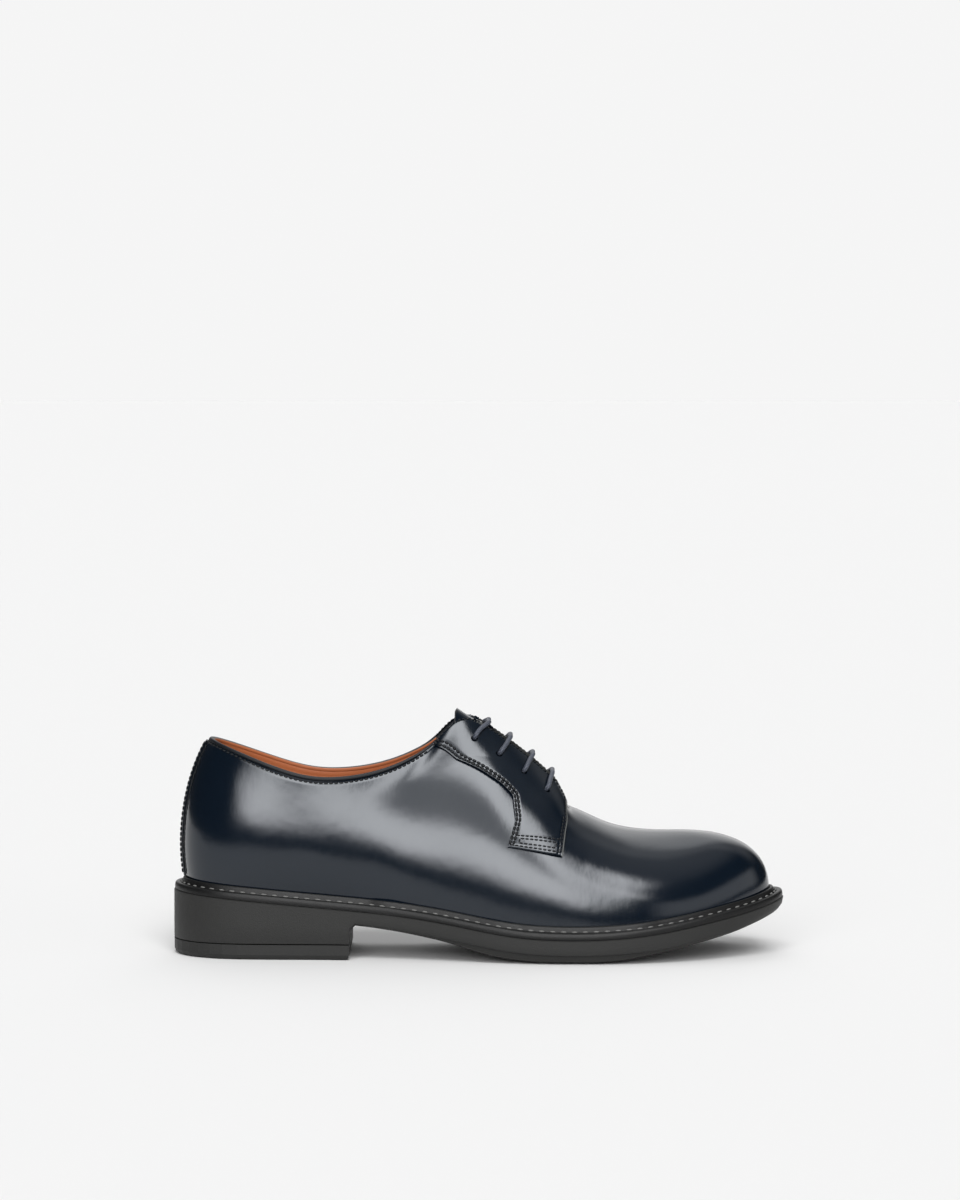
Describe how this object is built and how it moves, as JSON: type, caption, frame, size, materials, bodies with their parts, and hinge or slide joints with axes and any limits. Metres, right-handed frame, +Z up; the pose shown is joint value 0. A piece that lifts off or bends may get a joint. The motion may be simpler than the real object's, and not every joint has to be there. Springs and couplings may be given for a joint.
{
  "type": "derby shoe",
  "caption": "Plain-toe leather derby shoe with open-laced facings, round laces, beaded welt and rubber sole with a low heel, standing empty.",
  "frame": {"origin": "on the floor under the centre of the shoe's box", "axes": "+X towards the toe, +Y towards the inner side of the foot, +Z up"},
  "size_m": [0.302, 0.1048, 0.1199],
  "materials": {
    "polished_leather": "polished, near-black navy",
    "tan_lining": "smooth matt tan",
    "dark_edge": "rolled and dyed edge",
    "welt_rubber": "semi-matt black",
    "sole_rubber": "semi-matt charcoal",
    "waxed_lace": "round waxed braid"
  },
  "bodies": {
    "root": {"upper": "polished_leather", "facing_outer": "polished_leather", "facing_inner": "polished_leather", "back_strip": "polished_leather", "collar_binding": "dark_edge", "tongue": "polished_leather", "insole": "tan_lining", "welt": "welt_rubber", "outsole": "sole_rubber", "heel_lift": "sole_rubber", "lace_bar_1": "waxed_lace", "lace_bar_2": "waxed_lace", "lace_bar_3": "waxed_lace", "lace_bar_4": "waxed_lace"}
  },
  "joints": []
}
